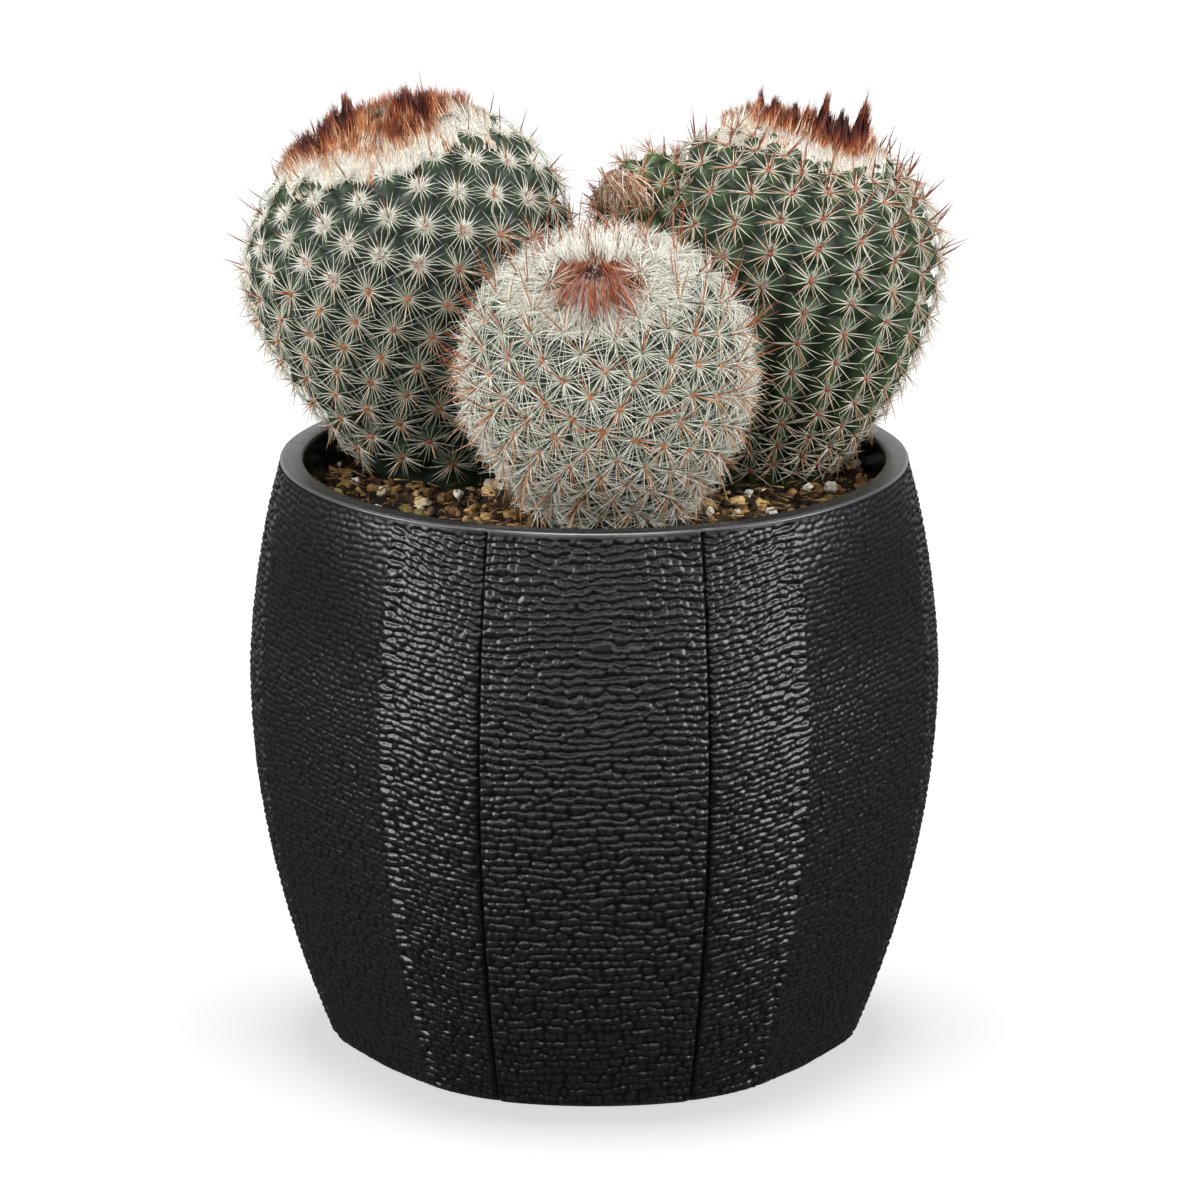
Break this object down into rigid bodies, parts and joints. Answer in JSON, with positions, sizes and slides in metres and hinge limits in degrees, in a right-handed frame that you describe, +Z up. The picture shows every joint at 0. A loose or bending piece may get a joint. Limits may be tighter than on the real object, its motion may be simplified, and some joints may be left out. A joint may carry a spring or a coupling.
{
  "type": "potted round cactus",
  "caption": "Round spiny cactus heads with red-brown crowns and a small offset, in gritty soil in a dark barrel-shaped planter with a wavy grain.",
  "frame": {"origin": "centre of the pot's base, on the surface that it stands on", "axes": "+Z up along the pot's axis, -Y towards the front head and the middle of a proud panel, +X towards the head with the offset"},
  "size_m": [0.151, 0.1373, 0.1973],
  "materials": {
    "pot": "satin",
    "soil": "matte",
    "skin": "satin",
    "white_skin": "satin",
    "spines": "satin",
    "wool": "matte",
    "grit": "matte"
  },
  "bodies": {
    "root": {"pot": "pot", "soil": "soil", "cactus_left": "skin", "cactus_right": "skin", "cactus_front": "white_skin"}
  },
  "joints": []
}
